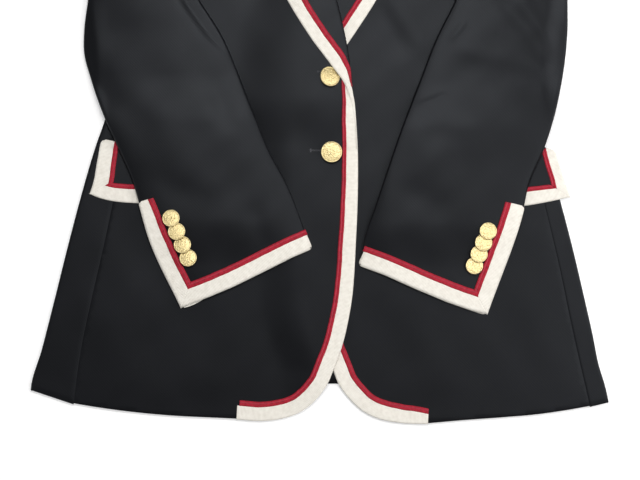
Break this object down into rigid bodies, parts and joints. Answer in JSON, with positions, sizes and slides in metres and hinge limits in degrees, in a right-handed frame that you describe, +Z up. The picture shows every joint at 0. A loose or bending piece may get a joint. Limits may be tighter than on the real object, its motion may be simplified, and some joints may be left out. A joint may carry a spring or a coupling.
{
  "type": "tailored jacket",
  "caption": "Tailored jacket laid flat face up, sleeves folded across the fronts, edges trimmed in ribbon and braid.",
  "frame": {"origin": "on the surface it lies on, under the middle of the jacket's box", "axes": "+Z up out of the surface, +Y from the hem to the collar, -X towards the wearer's right side"},
  "size_m": [0.5219, 0.7262, 0.0206],
  "materials": {
    "cloth": "fine navy-black twill",
    "ribbon": "ivory grosgrain",
    "braid": "red ribbed braid",
    "metal": "gold, hammered face"
  },
  "bodies": {
    "root": {"back_right": "cloth", "side_right": "cloth", "front_right": "cloth", "lapel_right": "cloth", "flap_right": "cloth", "top_sleeve_right": "cloth", "under_sleeve_right": "cloth", "back_left": "cloth", "side_left": "cloth", "front_left": "cloth", "lapel_left": "cloth", "flap_left": "cloth", "top_sleeve_left": "cloth", "under_sleeve_left": "cloth", "collar": "cloth", "ribbon_front_right": "ribbon", "braid_front_right": "braid", "ribbon_lapel_right": "ribbon", "braid_lapel_right": "braid", "ribbon_collar_right": "ribbon", "braid_collar_right": "braid", "ribbon_flap_right": "ribbon", "braid_flap_right": "braid", "ribbon_cuff_right": "ribbon", "braid_cuff_right": "braid", "ribbon_front_left": "ribbon", "braid_front_left": "braid", "ribbon_lapel_left": "ribbon", "braid_lapel_left": "braid", "ribbon_collar_left": "ribbon", "braid_collar_left": "braid", "ribbon_flap_left": "ribbon", "braid_flap_left": "braid", "ribbon_cuff_left": "ribbon", "braid_cuff_left": "braid", "front_button_1": "metal", "front_button_2": "metal", "cuff_button_right_1": "metal", "cuff_button_right_2": "metal", "cuff_button_right_3": "metal", "cuff_button_right_4": "metal", "cuff_button_left_1": "metal", "cuff_button_left_2": "metal", "cuff_button_left_3": "metal", "cuff_button_left_4": "metal"}
  },
  "joints": []
}
